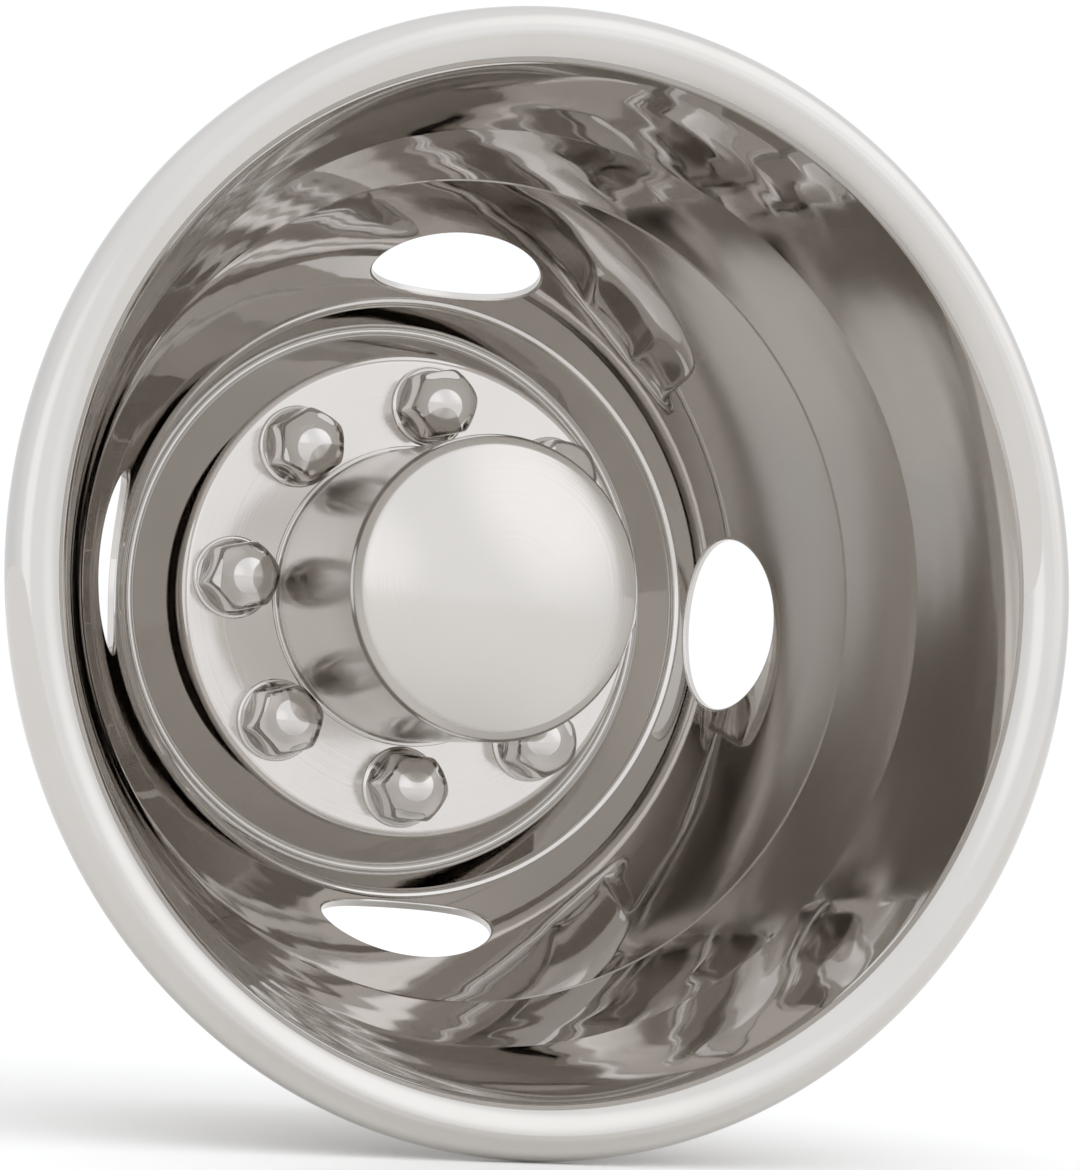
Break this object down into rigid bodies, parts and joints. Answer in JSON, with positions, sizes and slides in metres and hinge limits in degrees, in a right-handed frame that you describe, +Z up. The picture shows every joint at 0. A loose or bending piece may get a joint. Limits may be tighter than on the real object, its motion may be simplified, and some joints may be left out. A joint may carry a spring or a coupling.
{
  "type": "truck wheel simulator",
  "caption": "Dished mirror-polished steel wheel cover with a rolled lip, oval hand holes, a raised hub cap and domed nut covers on a round plate.",
  "frame": {"origin": "centre of the nut-hole disc's back face, where the cover sits against the wheel", "axes": "+Y along the wheel axis, out of the back towards the wheel; -Y faces the viewer; +Z up"},
  "size_m": [0.444, 0.2101, 0.4439],
  "materials": {
    "liner_steel": "spun stainless sheet buffed to a mirror",
    "plate_steel": "flat stainless sheet buffed to a mirror",
    "cap_steel": "drawn stainless sheet buffed to a mirror",
    "cover_steel": "pressed and plated, bright"
  },
  "bodies": {
    "root": {"wheel_liner": "liner_steel", "lug_plate": "plate_steel", "hub_cap": "cap_steel", "lug_cover_1": "cover_steel", "lug_cover_2": "cover_steel", "lug_cover_3": "cover_steel", "lug_cover_4": "cover_steel", "lug_cover_5": "cover_steel", "lug_cover_6": "cover_steel", "lug_cover_7": "cover_steel", "lug_cover_8": "cover_steel"}
  },
  "joints": []
}
